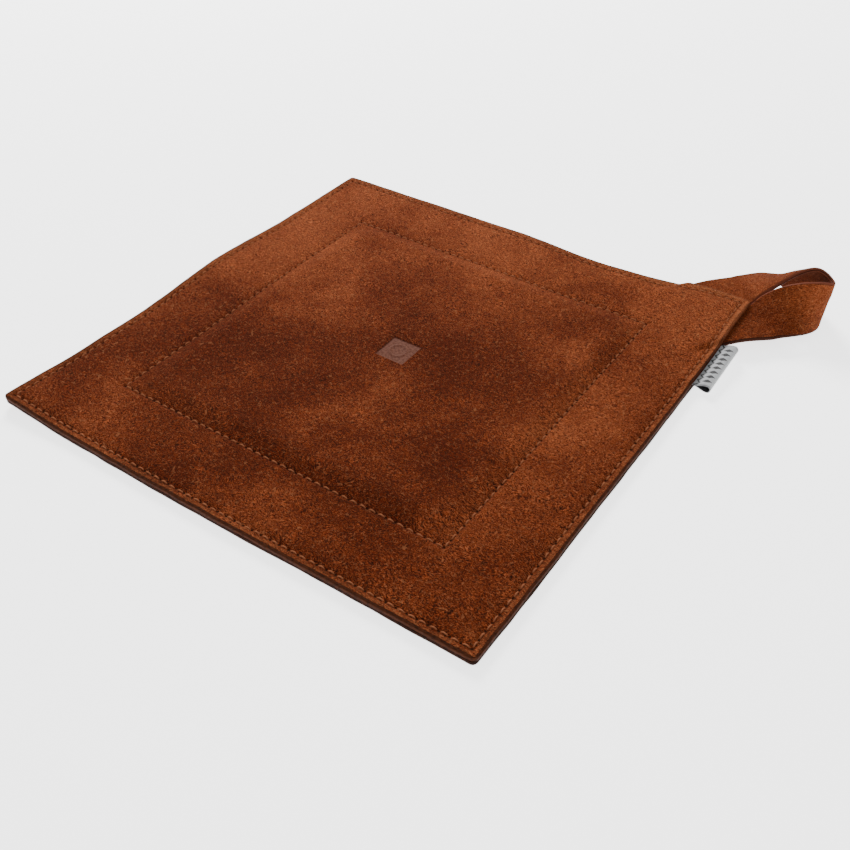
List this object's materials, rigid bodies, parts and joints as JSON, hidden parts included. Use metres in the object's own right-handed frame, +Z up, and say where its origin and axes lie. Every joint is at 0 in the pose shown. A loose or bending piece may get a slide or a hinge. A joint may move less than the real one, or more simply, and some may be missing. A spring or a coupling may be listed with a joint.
{
  "type": "leather pot holder",
  "caption": "Square stitched suede pad with a padded centre, a small stamped mark, a folded woven side label and a hanging loop at one corner; pot holder, trivet or strop.",
  "frame": {"origin": "centre of the pad's underside, on the surface that it lies on", "axes": "+Z up out of the pad's upper face; X and Y along the pad's edges; the strap loop leaves the corner at +X +Y, and the label stands on the edge at +X"},
  "size_m": [0.2264, 0.2239, 0.0229],
  "materials": {
    "panel_suede": "brushed rust-brown suede with a short mottled nap and dark painted cut edges",
    "strap_suede": "the same suede, with dark painted edges",
    "felt": "dense needled felt",
    "label_ribbon": "woven silver-grey tape with a plain black pattern, black inside",
    "thread": "bonded tan sewing thread"
  },
  "bodies": {
    "pad": {"bottom_panel": "panel_suede", "top_panel": "panel_suede", "insulating_felt": "felt", "loop_tails": "strap_suede", "label_tails": "label_ribbon", "edge_needle_thread": "thread", "edge_bobbin_thread": "thread", "centre_needle_thread": "thread", "centre_bobbin_thread": "thread"},
    "loop": {"hang_loop": "strap_suede"},
    "label": {"label_tab": "label_ribbon"}
  },
  "joints": [
    {"name": "loop_flex", "type": "hinge", "parent": "pad", "child": "loop", "pos_m": [0.10159, 0.10159, 0.0072], "axis": [0.7061, -0.7061, -0.0523], "range_deg": [-45, 60], "stiffness_Nm_per_rad": 0.018},
    {"name": "label_flex", "type": "hinge", "parent": "pad", "child": "label", "pos_m": [0.1005, 0.05825, 0.0028], "axis": [0, -0.9965, -0.0831], "range_deg": [-45, 70], "stiffness_Nm_per_rad": 0.003}
  ]
}
